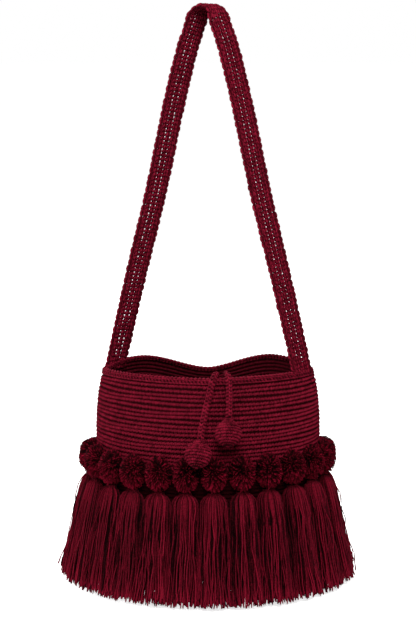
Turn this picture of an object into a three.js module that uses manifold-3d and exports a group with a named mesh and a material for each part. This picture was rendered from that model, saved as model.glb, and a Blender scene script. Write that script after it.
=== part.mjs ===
// A crocheted mochila bag: a ribbed bucket on a folded shoulder strap, ringed with pompoms and tassels.
// Millimetres, +Z up, front towards -Y. The origin is the underside of the strap's fold, where it hangs.
import * as THREE from 'three';
import { mergeVertices } from 'three/addons/utils/BufferGeometryUtils.js';
import Module from 'manifold-3d';

const wasm = await Module();
wasm.setup();

// Clearance between pieces that touch
const GAP = 0.3;

// Bag wall: drop is measured down from the rim, bearing in degrees from the front towards +X
const RIM_Z = -427;
const WALL = 6;
const WALL_SECTORS = 36;
const EDGING = 7.5;
const RIM_CROWN = 2;
const RIB_PITCH = 4.75;
const RIB_COUNT = 25;
const RIB_GROOVE = 1.2;
const BASE_DROP = 236;
const POMPOM_DROP = 105.5;

// Plan sections of the wall: a roundness of 2 is an ellipse, and less draws both ends to a point
const WALL_SECTIONS = [
  { drop: 0, halfWidth: 127, halfDepth: 75, roundness: 1.5 },
  { drop: 28, halfWidth: 133, halfDepth: 86.5, roundness: 1.68 },
  { drop: 60, halfWidth: 135.7, halfDepth: 97, roundness: 1.85 },
  { drop: POMPOM_DROP, halfWidth: 135.8, halfDepth: 103, roundness: 2 },
  { drop: 128, halfWidth: 135.2, halfDepth: 102.4, roundness: 2 },
  { drop: 150, halfWidth: 135.8, halfDepth: 103.2, roundness: 2 },
  { drop: 185, halfWidth: 138, halfDepth: 106, roundness: 2 },
  { drop: 212, halfWidth: 132, halfDepth: 101, roundness: 2 },
  { drop: 230, halfWidth: 114, halfDepth: 87, roundness: 2 },
  { drop: BASE_DROP, halfWidth: 94, halfDepth: 71, roundness: 2 },
];

// The slack rim lifts and dips in a few places, each over a span of bearings, and the back wall sinks in
const RIM_WAVES = [
  { bearing: 0, halfSpan: 90, lift: 1.5 },
  { bearing: 134, halfSpan: 43, lift: 7.8 },
  { bearing: 180, halfSpan: 48, lift: -12 },
  { bearing: 229, halfSpan: 41, lift: 6.5 },
];
const BACK_DENT = { bearing: 180, halfSpan: 55, depth: 10 };

// Strap: a band of three crocheted columns, its right half listed from the fold down to the rim
const STRAP_WIDTH = 35;
const STRAP_THICKNESS = 4.5;
const STRAP_GROOVE = 0.9;
const STRAP_COLUMNS = 3;
const STRAP_STEPS_PER_ROW = 2;
const STRAP_ROWS = [
  { right: 0, forward: 0, z: STRAP_THICKNESS / 2, turn: 60 },
  { right: 5.7, forward: 3.1, z: 0.5, turn: 59 },
  { right: 9.6, forward: 5.3, z: -4.2, turn: 54 },
  { right: 11.3, forward: 6.4, z: -11, turn: 48 },
  { right: 16.2, forward: 7.6, z: -24, turn: 43 },
  { right: 23.2, forward: 9, z: -44, turn: 41 },
  { right: 39, forward: 11.5, z: -107, turn: 40 },
  { right: 62.8, forward: 15, z: -219, turn: 40 },
  { right: 80.8, forward: 17, z: -292, turn: 41 },
  { right: 102.8, forward: 19.2, z: -385, turn: 43 },
  { right: 113.5, forward: 20.2, z: -432, turn: 45 },
];
const RIM_CUT = { reach: 14, depth: 25 };

// Pompoms: a ring of flattened balls of cut yarn on the wall, which rises at the right and sags at the back
const POMPOM_COUNT = 24;
const POMPOM_OFF_WALL = 4;
const POMPOM_LEAD = 6.8;
const RING_RISE = { bearing: 40, halfSpan: 75, lift: 3.5 };
const RING_SAG = { depth: 8, from: 85, to: 115 };
const POMPOM_SECTORS = 10;
const POMPOM_TUFT = 0.09;
const POMPOM = { halfWidth: 15.6, halfDepth: 19.5, halfHeight: 21.4 };
const POMPOM_RINGS = [
  { height: -1, reach: 0, tuft: 0 },
  { height: -0.97, reach: 0.42, tuft: 0 },
  { height: -0.52, reach: 0.92, tuft: 1 },
  { height: 0, reach: 1, tuft: -1 },
  { height: 0.54, reach: 0.9, tuft: 1 },
  { height: 0.95, reach: 0.4, tuft: 0 },
  { height: 1, reach: 0, tuft: 0 },
];

// Tassels: a bound neck, a domed head and a skirt of locks, all cut to one level below the rim
const TASSEL_OFF_WALL = 6.3;
const TASSEL_LEAN = 11.6;
const TASSEL_TIP_DROP = 252;
const TASSEL_LOCKS = 6;
const LOCK_GROOVE = 0.16;
const LOCK_SPLIT = 11;
const LOCK_RAGGED = 3;
const LOCK_RAGGED_STEP = 5;
const TASSEL_HOLLOW = 22;
const TASSEL_TIP = { reach: 18.4, depth: 12.3, groove: 1, split: 1 };
const TASSEL_RINGS = [
  { drop: 70, reach: 17, depth: 11.4, groove: 1, split: 0 },
  { drop: 30, reach: 15.8, depth: 10.8, groove: 0.8, split: 0 },
  { drop: 17, reach: 14.6, depth: 9, groove: 0.5, split: 0 },
  { drop: 9.5, reach: 12.6, depth: 7, groove: 0.3, split: 0 },
  { drop: 4.8, reach: 9.4, depth: 5.2, groove: 0, split: 0 },
  { drop: 2.4, reach: 5.6, depth: 3.9, groove: 0, split: 0 },
  { drop: 0, reach: 6.2, depth: 4.2, groove: 0, split: 0 },
];

// Ties: two crocheted cords, each a route from its sewn end inside the wall over the front rim to its ball
const TIE_DIAMETER = 6.4;
const TIE_SIDES = 8;
const TIE_BALL_SECTORS = 12;
const TIE_BALL_RADIUS = 15.5;
const TIE_BALL_NECK = 18.5;
const TIE_BALL_LATITUDES = [-65, -35, -8, 20, 48];
const TIES = [
  {
    side: 'left',
    route: [
      [11, -75, -455.1],
      [11, -71.6, -450.2],
      [11, -67.6, -444.3],
      [11, -63.6, -438.2],
      [10.9, -61.4, -431.2],
      [10.5, -62.6, -426.2],
      [9.8, -66.1, -422.7],
      [8.8, -70.9, -421.4],
      [7.3, -75.7, -422.6],
      [5.8, -79.4, -426],
      [3.9, -82.6, -432],
      [2.2, -85.9, -438.5],
      [0.4, -89.5, -445.8],
      [-1.6, -93.4, -453.6],
      [-3.7, -97.5, -462.4],
      [-5.7, -101.8, -471.2],
      [-7.3, -106.5, -480],
      [-8.6, -111.2, -488.4],
    ],
  },
  {
    side: 'right',
    route: [
      [18, -73, -455.1],
      [18, -69.6, -450.2],
      [18, -65.6, -444.3],
      [18.1, -61.6, -438.2],
      [18.5, -59.2, -431.2],
      [19.3, -60.1, -426.2],
      [20.5, -63.5, -422.7],
      [21.9, -68.2, -421.4],
      [23.1, -73, -422.6],
      [23.9, -76.8, -425.9],
      [24.4, -80.7, -431.8],
      [24.6, -84.9, -438.4],
      [24.6, -89.2, -445.2],
      [24.4, -93.4, -451.8],
      [24.2, -97.4, -458.9],
      [23.9, -101.3, -465.8],
    ],
  },
];

const COTTON = new THREE.MeshStandardMaterial({ color: '#741230', roughness: 0.9, metalness: 0 });
const YARN = new THREE.MeshStandardMaterial({ color: '#6a0c26', roughness: 0.85, metalness: 0 });
const CORD = new THREE.MeshStandardMaterial({ color: '#7c1432', roughness: 0.9, metalness: 0 });

const radians = THREE.MathUtils.degToRad;
const UP = new THREE.Vector3(0, 0, 1);

// Smooth value of a table's column between its rows
function tableValue(rows, key, column, at) {
  const last = rows.length - 1;
  let row = 0;
  while (row < last - 1 && at > rows[row + 1][key]) row += 1;
  const slope = (k) => {
    const before = rows[Math.max(k - 1, 0)];
    const after = rows[Math.min(k + 1, last)];
    return (after[column] - before[column]) / (after[key] - before[key]);
  };
  const span = rows[row + 1][key] - rows[row][key];
  const t = THREE.MathUtils.clamp((at - rows[row][key]) / span, 0, 1);
  const t2 = t * t;
  const t3 = t2 * t;
  return (2 * t3 - 3 * t2 + 1) * rows[row][column] + (t3 - 2 * t2 + t) * span * slope(row)
    + (3 * t2 - 2 * t3) * rows[row + 1][column] + (t3 - t2) * span * slope(row + 1);
}

// A rounded bump over a span of bearings, 1 at its middle
function bump(bearing, { bearing: middle, halfSpan }) {
  const away = Math.abs(bearing - middle);
  const turn = Math.min(away, 360 - away) / halfSpan;
  return turn < 1 ? Math.cos(turn * Math.PI / 2) ** 2 : 0;
}

const signedPower = (value, power) => Math.sign(value) * Math.abs(value) ** power;

// A point of the wall, inset inwards from the crests of its ribs, with reach 0 on the bag's axis
function wallPoint(bearing, { drop, inset, reach = 1 }) {
  const section = (column) => tableValue(WALL_SECTIONS, 'drop', column, drop);
  const power = 2 / section('roundness');
  const slack = 1 - THREE.MathUtils.smoothstep(drop, 0, POMPOM_DROP);
  const lift = RIM_WAVES.reduce((sum, wave) => sum + wave.lift * bump(bearing, wave), 0);
  const dent = BACK_DENT.depth * bump(bearing, BACK_DENT) * slack;
  const x = (section('halfWidth') - inset) * signedPower(Math.sin(radians(bearing)), power);
  const y = -(section('halfDepth') - inset) * signedPower(Math.cos(radians(bearing)), power) - dent;
  return new THREE.Vector3(x * reach, y * reach, RIM_Z - drop + lift * slack);
}

// A closed body of revolution, reshaped by a function of each vertex's sector and ring
function reshapedLathe(rings, sectors, place) {
  const profile = rings.map((ring, row) => new THREE.Vector2(1, row));
  const geometry = new THREE.LatheGeometry(profile, sectors);
  const position = geometry.getAttribute('position');
  for (let vertex = 0; vertex < position.count; vertex += 1) {
    const sector = Math.floor(vertex / rings.length) % sectors;
    const point = place(sector, rings[vertex % rings.length]);
    position.setXYZ(vertex, point.x, point.y, point.z);
  }
  return closedGeometry(geometry);
}

// One body with shared vertices and without the collapsed triangles at its poles
function closedGeometry(geometry) {
  geometry.deleteAttribute('normal');
  geometry.deleteAttribute('uv');
  const merged = mergeVertices(geometry, 1e-3);
  const index = merged.getIndex().array;
  const kept = [];
  for (let i = 0; i < index.length; i += 3) {
    const [a, b, c] = index.slice(i, i + 3);
    if (a !== b && b !== c && c !== a) kept.push(a, b, c);
  }
  merged.setIndex(kept);
  merged.computeVertexNormals();
  return merged;
}

function toSolid(geometry) {
  const mesh = new wasm.Mesh({
    numProp: 3,
    vertProperties: new Float32Array(geometry.getAttribute('position').array),
    triVerts: new Uint32Array(geometry.getIndex().array),
  });
  return new wasm.Manifold(mesh);
}

function toGeometry(solid) {
  const mesh = solid.getMesh();
  const geometry = new THREE.BufferGeometry();
  geometry.setAttribute('position', new THREE.BufferAttribute(mesh.vertProperties, 3));
  geometry.setIndex(new THREE.BufferAttribute(mesh.triVerts, 1));
  geometry.computeVertexNormals();
  return geometry;
}

function namedMesh(name, geometry, material) {
  const mesh = new THREE.Mesh(geometry, material);
  mesh.name = name;
  return mesh;
}

// Rings of the wall from the middle of the base, up the ribbed outside, over the rim and down the inside
function wallRings() {
  const drops = WALL_SECTIONS.map((section) => section.drop);
  const ribFoot = EDGING + RIB_COUNT * RIB_PITCH;
  const floor = BASE_DROP - WALL;
  const plainOutside = drops.filter((drop) => drop > ribFoot + RIB_PITCH).reverse();
  const plainInside = drops.filter((drop) => drop > RIM_CROWN && drop < floor);
  const rings = [{ drop: BASE_DROP, inset: 0, reach: 0 }];
  for (const drop of plainOutside) rings.push({ drop, inset: 0 });
  for (let rib = RIB_COUNT; rib > 0; rib -= 1) {
    const foot = EDGING + rib * RIB_PITCH;
    rings.push({ drop: foot, inset: RIB_GROOVE }, { drop: foot - RIB_PITCH / 2, inset: 0 });
  }
  rings.push({ drop: EDGING, inset: RIB_GROOVE });
  rings.push({ drop: EDGING - RIB_GROOVE, inset: 0 }, { drop: RIM_CROWN, inset: 0 });
  rings.push({ drop: 0, inset: WALL / 2 }, { drop: RIM_CROWN, inset: WALL });
  for (const drop of [...plainInside, floor]) rings.push({ drop, inset: WALL });
  rings.push({ drop: floor, inset: WALL, reach: 0 });
  return rings;
}

const sectorBearing = (sector) => 360 * sector / WALL_SECTORS;

function bagBody() {
  return reshapedLathe(wallRings(), WALL_SECTORS, (sector, ring) => wallPoint(sectorBearing(sector), ring));
}

// The space over the rim's edging that the strap's ends are trimmed to
function rimCutter() {
  const outer = -RIM_CUT.reach;
  const inner = WALL + RIM_CUT.reach;
  const rings = [
    { drop: RIM_CUT.depth, inset: outer },
    { drop: -GAP, inset: outer },
    { drop: -GAP, inset: inner },
    { drop: RIM_CUT.depth, inset: inner },
    { drop: RIM_CUT.depth, inset: outer },
  ];
  return reshapedLathe(rings, WALL_SECTORS, (sector, { drop, inset }) => {
    const point = wallPoint(sectorBearing(sector), { drop: Math.max(drop, 0), inset });
    point.z -= Math.min(drop, 0);
    return point;
  });
}

// The strap's centre line, whose band keeps a level width turned from +X towards the back
class StrapPath extends THREE.CatmullRomCurve3 {
  constructor(rows) {
    const half = rows.map((row) => new THREE.Vector3(row.right, -row.forward, row.z));
    const other = half.slice(1).map((point) => new THREE.Vector3(-point.x, -point.y, point.z));
    super([...other.reverse(), ...half]);
    this.turns = [...rows.slice(1).reverse(), ...rows].map((row) => row.turn);
  }

  getSpacedPoints(steps) {
    return this.getPoints(steps);
  }

  computeFrenetFrames(steps) {
    const frames = { tangents: [], normals: [], binormals: [] };
    for (let step = 0; step <= steps; step += 1) {
      const at = step / steps * (this.turns.length - 1);
      const row = Math.min(Math.floor(at), this.turns.length - 2);
      const turn = radians(THREE.MathUtils.lerp(this.turns[row], this.turns[row + 1], at - row));
      const tangent = this.getTangent(step / steps);
      const width = new THREE.Vector3(Math.cos(turn), Math.sin(turn), 0);
      width.addScaledVector(tangent, -width.dot(tangent)).normalize();
      frames.tangents.push(tangent);
      frames.normals.push(width);
      frames.binormals.push(new THREE.Vector3().crossVectors(tangent, width));
    }
    return frames;
  }
}

// Section of the band: one crest along each column on both faces, with a groove between two columns
function strapSection() {
  const crest = STRAP_THICKNESS / 2;
  const face = [];
  for (let edge = 1; edge < 2 * STRAP_COLUMNS; edge += 1) {
    const x = STRAP_WIDTH * (edge / (2 * STRAP_COLUMNS) - 0.5);
    face.push(new THREE.Vector2(x, edge % 2 ? crest : crest - STRAP_GROOVE));
  }
  const back = face.map((point) => new THREE.Vector2(-point.x, -point.y));
  const ends = [new THREE.Vector2(-STRAP_WIDTH / 2, 0), new THREE.Vector2(STRAP_WIDTH / 2, 0)];
  return new THREE.Shape([ends[0], ...face, ends[1], ...back]);
}

function strap() {
  const path = new StrapPath(STRAP_ROWS);
  const steps = (path.points.length - 1) * STRAP_STEPS_PER_ROW;
  const band = new THREE.ExtrudeGeometry(strapSection(), { steps, extrudePath: path, bevelEnabled: false });
  return toGeometry(toSolid(closedGeometry(band)).subtract(toSolid(rimCutter())));
}

// A ball of tufts on a flat back, with a flat seat for the tassel's neck below it
function pompomGeometry() {
  const back = POMPOM_OFF_WALL - GAP;
  return reshapedLathe(POMPOM_RINGS, POMPOM_SECTORS, (sector, ring) => {
    const angle = 2 * Math.PI * sector / POMPOM_SECTORS;
    const tuft = 1 + POMPOM_TUFT * ring.tuft * (sector % 2 ? 0 : -1);
    const x = POMPOM.halfWidth * ring.reach * tuft * Math.sin(angle);
    const y = -POMPOM.halfDepth * ring.reach * tuft * Math.cos(angle);
    return new THREE.Vector3(x, Math.min(y, back), POMPOM.halfHeight * ring.height);
  });
}

// Locks fall from one head: ridges and grooves round the skirt, split apart at the ragged ends
function tasselGeometry(length) {
  const sectors = 2 * TASSEL_LOCKS;
  const hollow = { drop: length - TASSEL_HOLLOW, reach: 0, depth: 0, groove: 0, split: 0 };
  const tip = { drop: length, ...TASSEL_TIP };
  const crown = { drop: 0, reach: 0, depth: 0, groove: 0, split: 0 };
  return reshapedLathe([hollow, tip, ...TASSEL_RINGS, crown], sectors, (sector, ring) => {
    const angle = 2 * Math.PI * (sector + 1) / sectors;
    const groove = sector % 2;
    const draw = 1 - LOCK_GROOVE * ring.groove * groove;
    const ragged = LOCK_RAGGED * (sector * LOCK_RAGGED_STEP % sectors) / sectors;
    const rise = ring.split * (groove ? LOCK_SPLIT : ragged);
    const x = ring.reach * draw * Math.sin(angle);
    const y = -ring.depth * draw * Math.cos(angle);
    return new THREE.Vector3(x, y, rise - ring.drop);
  });
}

// Places at equal steps round the wall, each with its outward bearing and its rise
function ringPlaces(count, offWall) {
  const { halfWidth, halfDepth } = WALL_SECTIONS.find((section) => section.drop === POMPOM_DROP);
  const ring = new THREE.EllipseCurve(0, 0, halfWidth + POMPOM_OFF_WALL, halfDepth + POMPOM_OFF_WALL,
    -Math.PI / 2, 3 * Math.PI / 2);
  const lead = POMPOM_LEAD / ring.getLength();
  return Array.from({ length: count }, (unused, place) => {
    const point = ring.getPointAt((lead + place / count) % 1);
    const tangent = ring.getTangentAt((lead + place / count) % 1);
    const bearing = Math.atan2(tangent.y, tangent.x);
    const outward = new THREE.Vector2(Math.sin(bearing), -Math.cos(bearing));
    const turn = THREE.MathUtils.radToDeg(bearing);
    const sag = RING_SAG.depth * THREE.MathUtils.smoothstep(Math.abs(turn), RING_SAG.from, RING_SAG.to);
    const rise = RING_RISE.lift * bump(turn, RING_RISE) - sag;
    return { point: point.addScaledVector(outward, offWall - POMPOM_OFF_WALL), bearing, rise };
  });
}

const twoDigits = (number) => String(number).padStart(2, '0');

function hungOnRing(label, { offWall, drop, lean }, makeGeometry) {
  const group = new THREE.Group();
  ringPlaces(POMPOM_COUNT, offWall).forEach(({ point, bearing, rise }, place) => {
    const station = new THREE.Group();
    station.position.set(point.x, point.y, RIM_Z - drop + rise);
    station.rotation.z = bearing;
    const piece = namedMesh(`${label}_${twoDigits(place + 1)}`, makeGeometry(rise), YARN);
    piece.rotation.x = -radians(lean);
    station.add(piece);
    group.add(station);
  });
  return group;
}

function tieCord({ route }) {
  const path = new THREE.CatmullRomCurve3(route.map((point) => new THREE.Vector3(...point)));
  const section = new THREE.Shape(new THREE.EllipseCurve(0, 0, TIE_DIAMETER / 2, TIE_DIAMETER / 2,
    0, 2 * Math.PI).getPoints(TIE_SIDES).slice(0, TIE_SIDES));
  const cord = new THREE.ExtrudeGeometry(section, {
    steps: route.length - 1, extrudePath: path, bevelEnabled: false,
  });
  return closedGeometry(cord);
}

// A ball drawn out to the cord at its top, with its axis along the tie's last stretch
function tieBall(name, { route }) {
  const rings = [{ z: -TIE_BALL_RADIUS, reach: 0 }];
  for (const latitude of TIE_BALL_LATITUDES) {
    const turn = radians(latitude);
    rings.push({ z: TIE_BALL_RADIUS * Math.sin(turn), reach: TIE_BALL_RADIUS * Math.cos(turn) });
  }
  rings.push({ z: TIE_BALL_NECK, reach: TIE_DIAMETER / 2 }, { z: TIE_BALL_NECK, reach: 0 });
  const geometry = reshapedLathe(rings, TIE_BALL_SECTORS, (sector, ring) => {
    const angle = 2 * Math.PI * sector / TIE_BALL_SECTORS;
    return new THREE.Vector3(ring.reach * Math.sin(angle), -ring.reach * Math.cos(angle), ring.z);
  });
  const mesh = namedMesh(name, geometry, CORD);
  const end = new THREE.Vector3(...route.at(-1));
  const upCord = new THREE.Vector3(...route.at(-2)).sub(end).normalize();
  mesh.position.copy(end).addScaledVector(upCord, -TIE_BALL_NECK - GAP);
  mesh.quaternion.setFromUnitVectors(UP, upCord);
  return mesh;
}

const bag = new THREE.Group();
bag.add(namedMesh('bag_body', bagBody(), COTTON));
bag.add(namedMesh('strap', strap(), COTTON));
bag.add(hungOnRing('pompom', { offWall: POMPOM_OFF_WALL, drop: POMPOM_DROP, lean: 0 }, pompomGeometry));
const neckDrop = POMPOM_DROP + POMPOM.halfHeight + GAP;
const tasselAt = (rise) => {
  const fall = TASSEL_TIP_DROP - neckDrop + rise;
  return tasselGeometry(fall / Math.cos(radians(TASSEL_LEAN)));
};
bag.add(hungOnRing('tassel', { offWall: TASSEL_OFF_WALL, drop: neckDrop, lean: TASSEL_LEAN }, tasselAt));
for (const tie of TIES) {
  bag.add(namedMesh(`tie_cord_${tie.side}`, tieCord(tie), CORD));
  bag.add(tieBall(`tie_ball_${tie.side}`, tie));
}

export default bag;
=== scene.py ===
# A crocheted mochila bag, dressed over its solids with rows of stitches, an openwork strap, pompoms and
# tassels of loose yarn, and two closing ties. Metres, +Z up, front towards -Y.
import math

import bmesh
import bpy
import numpy as np
from mathutils import Matrix, Vector


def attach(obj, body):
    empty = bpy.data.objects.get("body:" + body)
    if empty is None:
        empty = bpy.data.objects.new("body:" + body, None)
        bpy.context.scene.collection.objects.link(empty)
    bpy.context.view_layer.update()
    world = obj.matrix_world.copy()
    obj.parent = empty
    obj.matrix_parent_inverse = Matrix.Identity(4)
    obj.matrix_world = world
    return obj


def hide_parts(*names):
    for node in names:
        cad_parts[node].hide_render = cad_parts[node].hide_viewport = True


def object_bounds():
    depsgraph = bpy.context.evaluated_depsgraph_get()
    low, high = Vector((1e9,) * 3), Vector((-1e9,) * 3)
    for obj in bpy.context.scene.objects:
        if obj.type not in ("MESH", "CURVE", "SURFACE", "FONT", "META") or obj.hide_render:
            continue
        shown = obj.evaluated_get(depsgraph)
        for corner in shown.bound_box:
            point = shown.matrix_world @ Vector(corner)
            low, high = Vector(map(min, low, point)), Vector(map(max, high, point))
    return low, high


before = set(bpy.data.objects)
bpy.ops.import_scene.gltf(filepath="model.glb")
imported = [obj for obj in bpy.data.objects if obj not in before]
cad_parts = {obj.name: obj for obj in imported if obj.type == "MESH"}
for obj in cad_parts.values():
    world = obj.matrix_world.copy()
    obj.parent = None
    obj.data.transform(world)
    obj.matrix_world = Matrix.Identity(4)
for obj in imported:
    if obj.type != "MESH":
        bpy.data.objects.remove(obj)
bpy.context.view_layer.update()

# Bag wall, with sections as drop down from the rim, half width, half depth and roundness. Bearings are in
# degrees from the front towards +X
RIM_Z = -0.427
WALL = 0.006
EDGING = 0.0075
BASE_DROP = 0.236
POMPOM_DROP = 0.1055
WALL_SECTIONS = np.array([
    (0.000, 0.1270, 0.0750, 1.50),
    (0.028, 0.1330, 0.0865, 1.68),
    (0.060, 0.1357, 0.0970, 1.85),
    (POMPOM_DROP, 0.1358, 0.1030, 2.00),
    (0.128, 0.1352, 0.1024, 2.00),
    (0.150, 0.1358, 0.1032, 2.00),
    (0.185, 0.1380, 0.1060, 2.00),
    (0.212, 0.1320, 0.1010, 2.00),
    (0.230, 0.1140, 0.0870, 2.00),
    (0.236, 0.0940, 0.0710, 2.00),
])

# The slack rim's lifts and dips, and the dent of the back wall: middle bearing, half span, size
RIM_WAVES = ((0, 90, 0.0015), (134, 43, 0.0078), (180, 48, -0.012), (229, 41, 0.0065))
BACK_DENT = (180, 55, 0.010)

# Crochet: rows of single stitches, each of two slanted legs of yarn that sink into the grooves of its rib
ROW_PITCH = 0.00475
STITCH_WIDTH = 0.0046
STITCHED_ROWS = 20
UPPER_ROWS = 10
INNER_RIBS = 18
STITCH_SLANT = 0.13
STITCH_DRAW = 0.55
STITCH_LEGS = {"yarn": 0.00122, "sink": 0.0026, "mottle": 0.06}
BALL_LEGS = {"yarn": 0.00116, "sink": 0.0031, "mottle": 0.17}
LEG_FLATNESS = 0.95
STITCH_TONE = 0.55
SLANT_SPREAD = 0.2
PUFF_SPREAD = 0.00012
YARN_SPREAD = 0.08
LEG_MOTTLE = 0.05
RIB_CREST = 0.0017
RIB_GROOVE = 0.0033
WALL_SECTORS = 96
WALL_GIRTH = 0.7

# A leg of a stitch along its length: heights, swell of its yarn, tones that paint shade where its ends sink
# and a little light on its crest, and the curve that sinks its ends
LEG_HEIGHTS = np.array([-1.0, -0.6, 0.0, 0.6, 1.0])
LEG_SWELL = np.array([0.42, 0.88, 1.0, 0.84, 0.42])
LEG_SHADE_AND_LIGHT = np.array([-0.75, -0.20, 0.20, -0.36, -0.95])
LONG_LEG_SHADE_AND_LIGHT = np.array([-0.80, -0.20, 0.24, -0.32, -0.86])
LEG_BEND = 0.96
LEG_ROUND = (1 - np.sqrt(1 - LEG_BEND * LEG_HEIGHTS ** 2)) / (1 - math.sqrt(1 - LEG_BEND))

# The two legs of a stitch: place as a share of its width, length as a share of its row, and the painted
# shade and light along it
STITCH_PAIR = ((-0.25, 1.10, LONG_LEG_SHADE_AND_LIGHT), (0.25, 0.93, LEG_SHADE_AND_LIGHT))

# Rolled edging of the rim, lines of loops on its crown, down its outside and down its inside, with painted
# shade at the ends of each loop: drop, inset, pitch, phase, overlap, slant, yarn, arch and tone, the tone
# lower for the lines inside the rim as painted shade
EDGING_CROWN = 0.002
EDGING_MOTTLE = 0.10
EDGING_SHADE_SHARE = 0.55
EDGING_LINES = (
    (0.0007, 0.0014, 0.0050, 0.0, 0.64, 0.0009, 0.00140, 0.0016, 0.60),
    (0.0007, WALL - 0.0014, 0.0050, 0.0, 0.56, 0.0009, 0.00140, 0.0024, 0.50),
    (0.0024, 0.0006, 0.0037, 0.1, 0.75, 0.0006, 0.00112, 0.0005, 0.60),
    (0.0043, 0.0007, 0.0044, 0.3, 0.44, 0.0012, 0.00106, 0.0005, 0.50),
    (0.0062, 0.0007, 0.0044, 0.6, 0.72, 0.0005, 0.00115, 0.0006, 0.60),
    (0.0026, WALL - 0.0007, 0.0044, 0.1, 0.62, 0.0009, 0.00118, 0.0005, 0.45),
    (0.0046, WALL - 0.0007, 0.0044, 0.6, 0.62, 0.0009, 0.00118, 0.0005, 0.42),
)

# Rows of the wall and the base, how rows waver as waves, step from row to row and size, and the painted
# shade behind the pompoms: drops where it starts and is full, its strength and the row where the darkened
# bare wall ends
WALL_ROWS = int((BASE_DROP - EDGING) / ROW_PITCH)
BASE_ROWS = 16
ROW_WAVER = 0.0005
ROW_WAVES = ((3, 1.7, 1.0), (7, 0.9, 0.6))
SHADED_FROM = 0.096
SHADED_BY = 0.112
SHADED_TONE = 0.55
SHADED_ROWS = 29

# The wall's rows, upwards outside and downwards inside, and its rim: part of a row or drop, inset and tone;
# the tones paint shade, 0 in the grooves, under the stitches and behind the pompoms, low on the rim and
# inside
COVERED_ROW = ((0, RIB_GROOVE, 0.0), (0.5, RIB_CREST, 0.0))
SHADED_ROW = ((0, RIB_GROOVE, 0.0), (0.25, 0.0009, 0.0), (0.5, 0.0006, 0.0), (0.75, 0.0009, 0.0))
BARE_ROW = ((0, RIB_GROOVE, 0.0), (0.25, 0.0009, 0.6), (0.5, 0.0006, 0.6), (0.75, 0.0009, 0.6))
INNER_GROOVE = WALL - 0.0022
INNER_FLANK = WALL - 0.0007
INNER_CREST = WALL - 0.0001
PLAIN_INNER_ROW = ((0.5, INNER_CREST, 0.34), (0, INNER_GROOVE, 0.0))
INNER_ROW = ((0.8, INNER_FLANK, 0.22), PLAIN_INNER_ROW[0], (0.2, INNER_FLANK, 0.18), PLAIN_INNER_ROW[1])
RIM_SECTION = (
    (EDGING, RIB_GROOVE, 0.0),
    (0.8 * EDGING, RIB_CREST, 0.1),
    (0.3 * EDGING, RIB_CREST, 0.1),
    (0.0014, 0.0020, 0.2),
    (0.0010, 0.5 * WALL, 0.2),
    (0.0014, WALL - 0.0020, 0.2),
    (0.3 * EDGING, WALL - 0.0012, 0.2),
    (EDGING, INNER_GROOVE, 0.0),
)
BASE_RELIEF = 0.0011
BASE_TONES = (0.3, 0.6)
INNER_BASE_TONE = 0.5

# Strap: its right half from the fold down to the rim, as right, forward, height and turn of the band's width
STRAP_ROWS = np.array([
    (0.0000, 0.0000, 0.00225, 60),
    (0.0057, 0.0031, 0.0005, 59),
    (0.0096, 0.0053, -0.0042, 54),
    (0.0113, 0.0064, -0.0110, 48),
    (0.0162, 0.0076, -0.0240, 43),
    (0.0232, 0.0090, -0.0440, 41),
    (0.0390, 0.0115, -0.1070, 40),
    (0.0628, 0.0150, -0.2190, 40),
    (0.0808, 0.0170, -0.2920, 41),
    (0.1028, 0.0192, -0.3850, 43),
    (0.1135, 0.0202, -0.4320, 45),
])

# Strap: columns of stitches tied by bars with holes between them, and a chain of loops along each edge
STRAP_STEPS = 900
STRAP_COLUMNS = (-0.0076, 0.0, 0.0076)
STRAP_STITCH = 0.0049
STRAP_OVERLAP = 0.66
STRAP_SHIFT = 0.05
STRAP_LIFT = 0.0002
STRAP_TONE = 0.58
STRAP_MOTTLE = 0.16
STRAP_YARN = 0.00128
STRAP_SPREAD = 0.0017
STRAP_DRAW = 0.45
STRAP_RELIEF = 0.0012
STRAP_SINK = 0.0013
EDGE_CHAINS = (-0.0135, 0.0135)
EDGE_WIDTH = 0.0084
EDGE_LOOP = 0.0076
LOOP_OVERLAP = 1.32
LOOP_YARN = 0.00145
LOOP_DEPTH = 0.0008
LOOP_SHIFT = 0.06
LOOP_BULGE_SPREAD = 0.07
LOOP_TONE = 0.55
LOOP_MOTTLE = 0.12
LOOP_PARTS = np.linspace(0, 1, 5)
LOOP_SWELL = np.array([0.6, 1.0, 1.05, 1.0, 0.6])
# Painted shade at both ends of each loop, where it tucks under the next
LOOP_END_SHADE = np.array([-0.4, 0.0, 0.1, 0.0, -0.4])
BAR_YARN = 0.0007
BAR_LEAD = 0.02
BAR_SLANT = np.array([-0.0007, 0, 0.0007])
BAR_LIFT = 0.0003
BAR_TONE = 0.34
# A core under each column and chain, dyed deep as painted shade seen between the stitches
STRAP_CORE = 0.0012
CORE_STEP = 0.004
CORE_FLATNESS = 1.6
CORE_SHADE_TONE = 0.1

# The band spreads at its fold, and one of its edges bulges on each side of it
FOLD_SPREAD = 0.06
FOLD_REACH = 0.022
BULGE_SPREAD = 0.20
BULGE_FROM_FOLD = 0.020
BULGE_REACH = 0.013

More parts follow.
